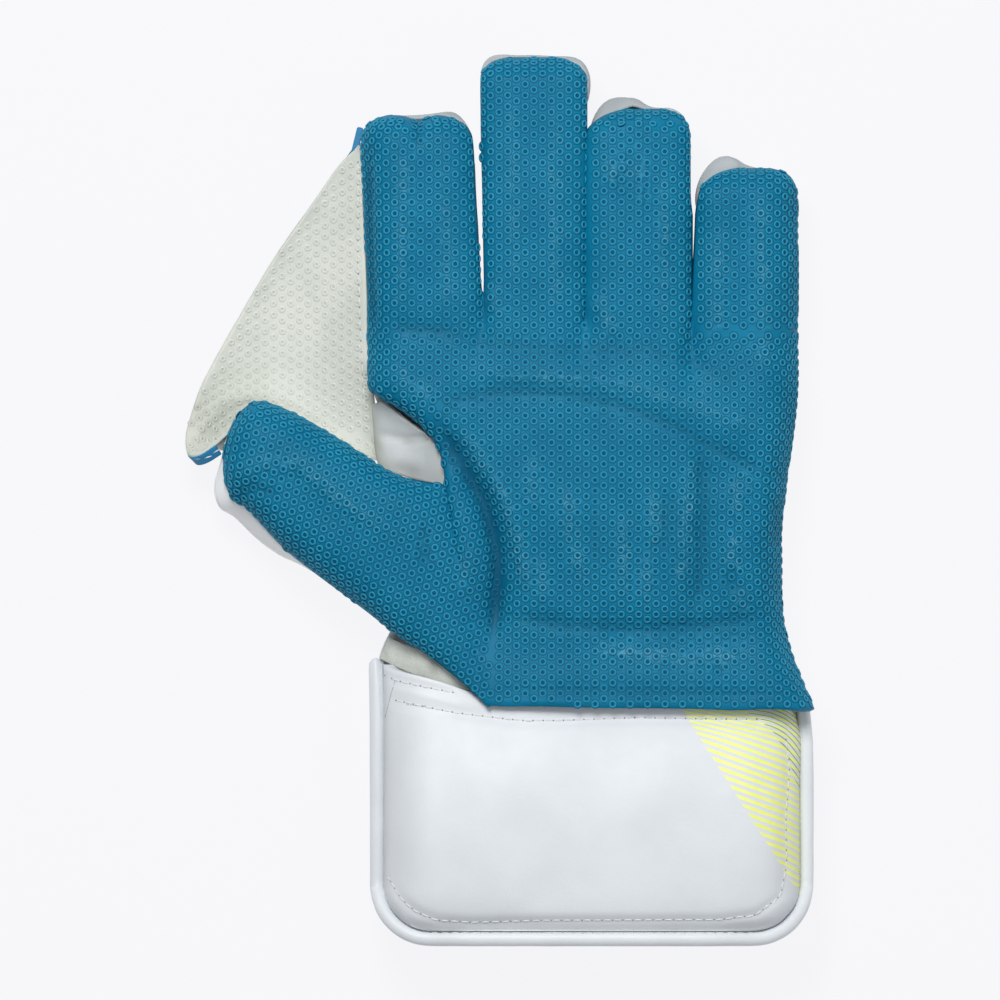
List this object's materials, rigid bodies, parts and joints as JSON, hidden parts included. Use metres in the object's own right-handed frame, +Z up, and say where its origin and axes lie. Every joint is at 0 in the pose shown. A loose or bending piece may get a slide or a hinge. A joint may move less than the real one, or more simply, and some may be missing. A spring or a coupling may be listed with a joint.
{
  "type": "wicketkeeping_glove",
  "caption": "Left-hand wicketkeeping glove lying palm up: ringed rubber palm, fingers and thumb, leather back, catching web between index finger and thumb, padded cuff with piping",
  "frame": {"origin": "on the surface that the glove lies on, below the middle of its outline", "axes": "+X towards the little-finger side, +Y from the cuff to the fingertips, +Z up out of the palm"},
  "size_m": [0.2202, 0.3108, 0.0463],
  "materials": {
    "teal_rubber": "matt natural rubber moulded with small rings",
    "white_leather": "smooth white coated leather",
    "cream_web": "cream leather embossed with small rings",
    "blue_tape": "woven blue tape with white stitching",
    "suede": "napped pale suede"
  },
  "bodies": {
    "root": {"palm_rubber": "teal_rubber", "hand_back": "white_leather", "index_cap": "white_leather", "middle_cap": "white_leather", "ring_cap": "white_leather", "little_cap": "white_leather", "thumb_back": "white_leather", "thumb_cap": "white_leather", "web": "cream_web", "web_tape": "blue_tape", "crotch_gusset": "white_leather", "wrist_gusset": "suede", "cuff_front": "white_leather", "cuff_back": "white_leather", "cuff_piping": "white_leather", "cuff_back_piping": "white_leather"}
  },
  "joints": []
}
